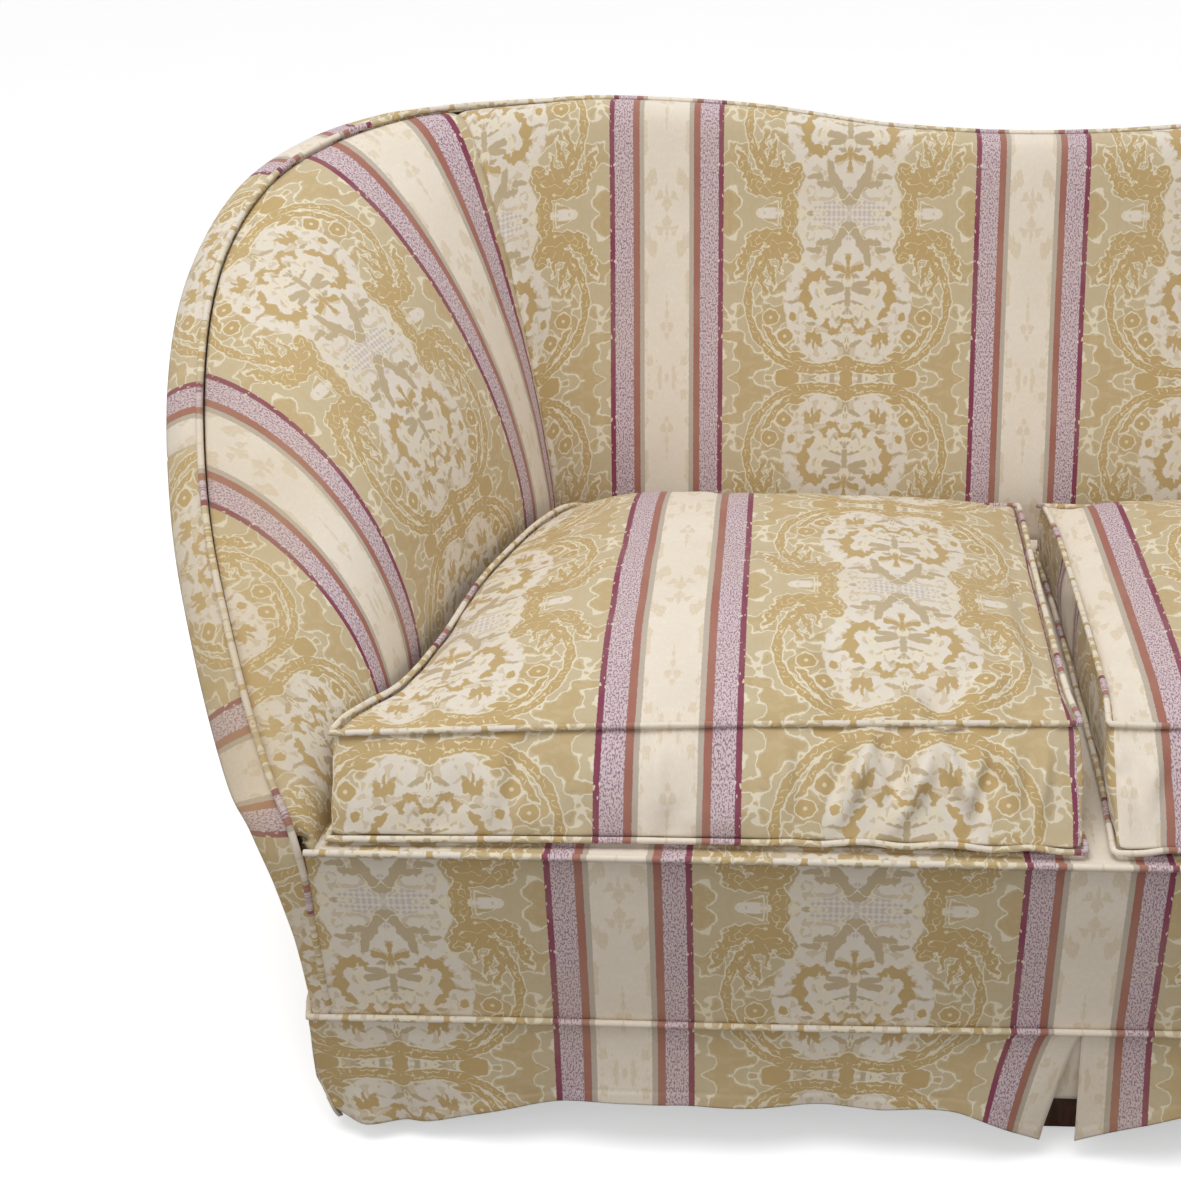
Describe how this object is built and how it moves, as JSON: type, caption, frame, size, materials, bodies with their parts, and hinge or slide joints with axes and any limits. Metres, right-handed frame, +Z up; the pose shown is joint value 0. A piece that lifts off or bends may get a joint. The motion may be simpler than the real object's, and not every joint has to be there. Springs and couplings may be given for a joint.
{
  "type": "two-seat cabriole sofa",
  "caption": "Upholstered cabriole sofa whose back bows round into flared arms, with loose seat cushions, welted seams and a scalloped skirt over block legs",
  "frame": {"origin": "on the floor under the middle of the sofa's outline", "axes": "X across the sofa, the front faces -Y, Z up from the floor"},
  "size_m": [1.972, 0.9274, 0.9089],
  "materials": {
    "damask_stripe": "matte",
    "welt_cloth": "matte",
    "zip_tape": "matte",
    "cushion_filling": "matte",
    "felt": "matte",
    "hessian": "matte",
    "dust_cloth": "matte",
    "webbing": "matte",
    "beech": "matte",
    "leg_wood": "satin",
    "bolt_steel": "satin",
    "glide_plastic": "matte"
  },
  "bodies": {
    "root": {"front_rail": "beech", "back_rail": "beech", "side_rail_left": "beech", "side_rail_right": "beech", "middle_stretcher": "beech", "lower_back_rail": "beech", "back_top_rail": "beech", "back_post_left": "beech", "back_post_middle": "beech", "back_post_right": "beech", "arm_post_left": "beech", "arm_post_right": "beech", "arm_timber_left": "beech", "arm_timber_right": "beech", "arm_stay_left": "beech", "arm_stay_right": "beech", "corner_blocks": "beech", "leg_bolts": "bolt_steel", "leg_front_left": "leg_wood", "leg_front_middle": "leg_wood", "leg_front_right": "leg_wood", "leg_rear_left": "leg_wood", "leg_rear_middle": "leg_wood", "leg_rear_right": "leg_wood", "glides": "glide_plastic", "webbing_straps": "webbing", "webbing_cross_straps": "webbing", "seat_hessian": "hessian", "deck_felt": "felt", "deck_cover": "damask_stripe", "dust_cover": "dust_cloth", "back_stuffing": "felt", "arm_stuffing_left": "felt", "arm_stuffing_right": "felt", "inner_back_cover": "damask_stripe", "inner_arm_cover_left": "damask_stripe", "inner_arm_cover_right": "damask_stripe", "arm_band_left": "damask_stripe", "arm_band_right": "damask_stripe", "outer_arm_cover_left": "damask_stripe", "outer_arm_cover_right": "damask_stripe", "outer_back_cover": "damask_stripe", "front_border": "damask_stripe", "skirt_front_left": "damask_stripe", "skirt_front_right": "damask_stripe", "skirt_left": "damask_stripe", "skirt_right": "damask_stripe", "skirt_back": "damask_stripe", "rim_welt": "welt_cloth", "front_welt": "welt_cloth", "skirt_welt": "welt_cloth"},
    "cushion_left": {"cushion_cover_left": "damask_stripe", "cushion_filling_left": "cushion_filling", "cushion_welts_left": "welt_cloth", "cushion_zip_left": "zip_tape"},
    "cushion_right": {"cushion_cover_right": "damask_stripe", "cushion_filling_right": "cushion_filling", "cushion_welts_right": "welt_cloth", "cushion_zip_right": "zip_tape"}
  },
  "joints": [
    {"name": "cushion_left_lift", "type": "slide", "parent": "root", "child": "cushion_left", "axis": [0, 0, 1], "range_m": [0, 0.35]},
    {"name": "cushion_right_lift", "type": "slide", "parent": "root", "child": "cushion_right", "axis": [0, 0, 1], "range_m": [0, 0.35]}
  ]
}
